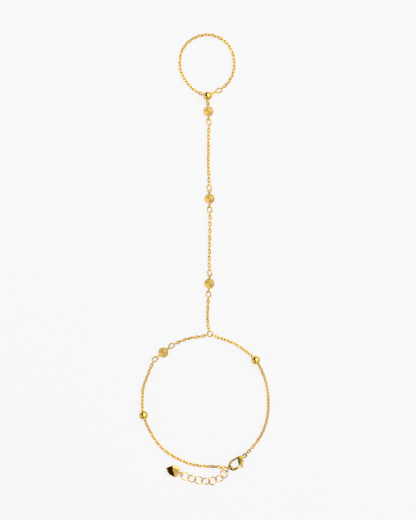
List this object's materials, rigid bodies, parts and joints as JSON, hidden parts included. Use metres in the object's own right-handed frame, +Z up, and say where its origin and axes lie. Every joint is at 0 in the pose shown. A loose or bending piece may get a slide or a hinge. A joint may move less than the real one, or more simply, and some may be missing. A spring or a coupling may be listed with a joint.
{
  "type": "hand chain bracelet",
  "caption": "Gold hand chain: a finger loop and a wrist loop joined by a straight chain with beads and swirl discs, a lobster clasp, and an extender with a heart tag.",
  "frame": {"origin": "middle of the lying bracelet's bounding box, on the surface it lies on", "axes": "+X to the right of the picture, +Y up the picture from the wrist loop to the finger loop, +Z up from the surface"},
  "size_m": [0.0522, 0.1806, 0.0036],
  "materials": {
    "chain": "polished gold plate",
    "ring": "polished gold plate",
    "bead": "mirror-polished gold plate",
    "disc": "satin gold plate with polished relief",
    "clasp_body": "polished gold plate",
    "clasp_lever": "polished gold plate",
    "clasp_pin": "polished gold plate",
    "heart": "mirror-polished gold plate"
  },
  "bodies": {
    "bracelet": {"finger_chain": "chain", "finger_jump_ring": "ring", "finger_tail": "chain", "finger_bead": "bead", "bead_link": "chain", "disc_1": "disc", "disc_1_ring": "ring", "hand_chain_1": "chain", "disc_2": "disc", "disc_2_ring_a": "ring", "disc_2_ring_b": "ring", "hand_chain_2": "chain", "disc_3": "disc", "disc_3_ring_a": "ring", "disc_3_ring_b": "ring", "hand_chain_3": "chain", "top_ring": "ring", "wrist_chain_top": "chain", "disc_4": "disc", "disc_4_ring_a": "ring", "disc_4_ring_b": "ring", "wrist_chain_left": "chain", "bead_left": "bead", "wrist_chain_right": "chain", "bead_right": "bead", "clasp_ring": "ring", "clasp_body": "clasp_body", "clasp_pin": "clasp_pin", "hook_ring": "ring", "end_ring": "ring", "extender_chain": "ring", "tag_ring": "ring", "heart_tag": "heart"},
    "lever": {"clasp_lever": "clasp_lever"}
  },
  "joints": [
    {"name": "clasp_lever_hinge", "type": "hinge", "parent": "bracelet", "child": "lever", "pos_m": [0.0143, -0.07978, 0.0012], "axis": [0, 0, 1], "range_deg": [0, 20], "stiffness_Nm_per_rad": 0.00002, "springref_deg": -5.73}
  ]
}
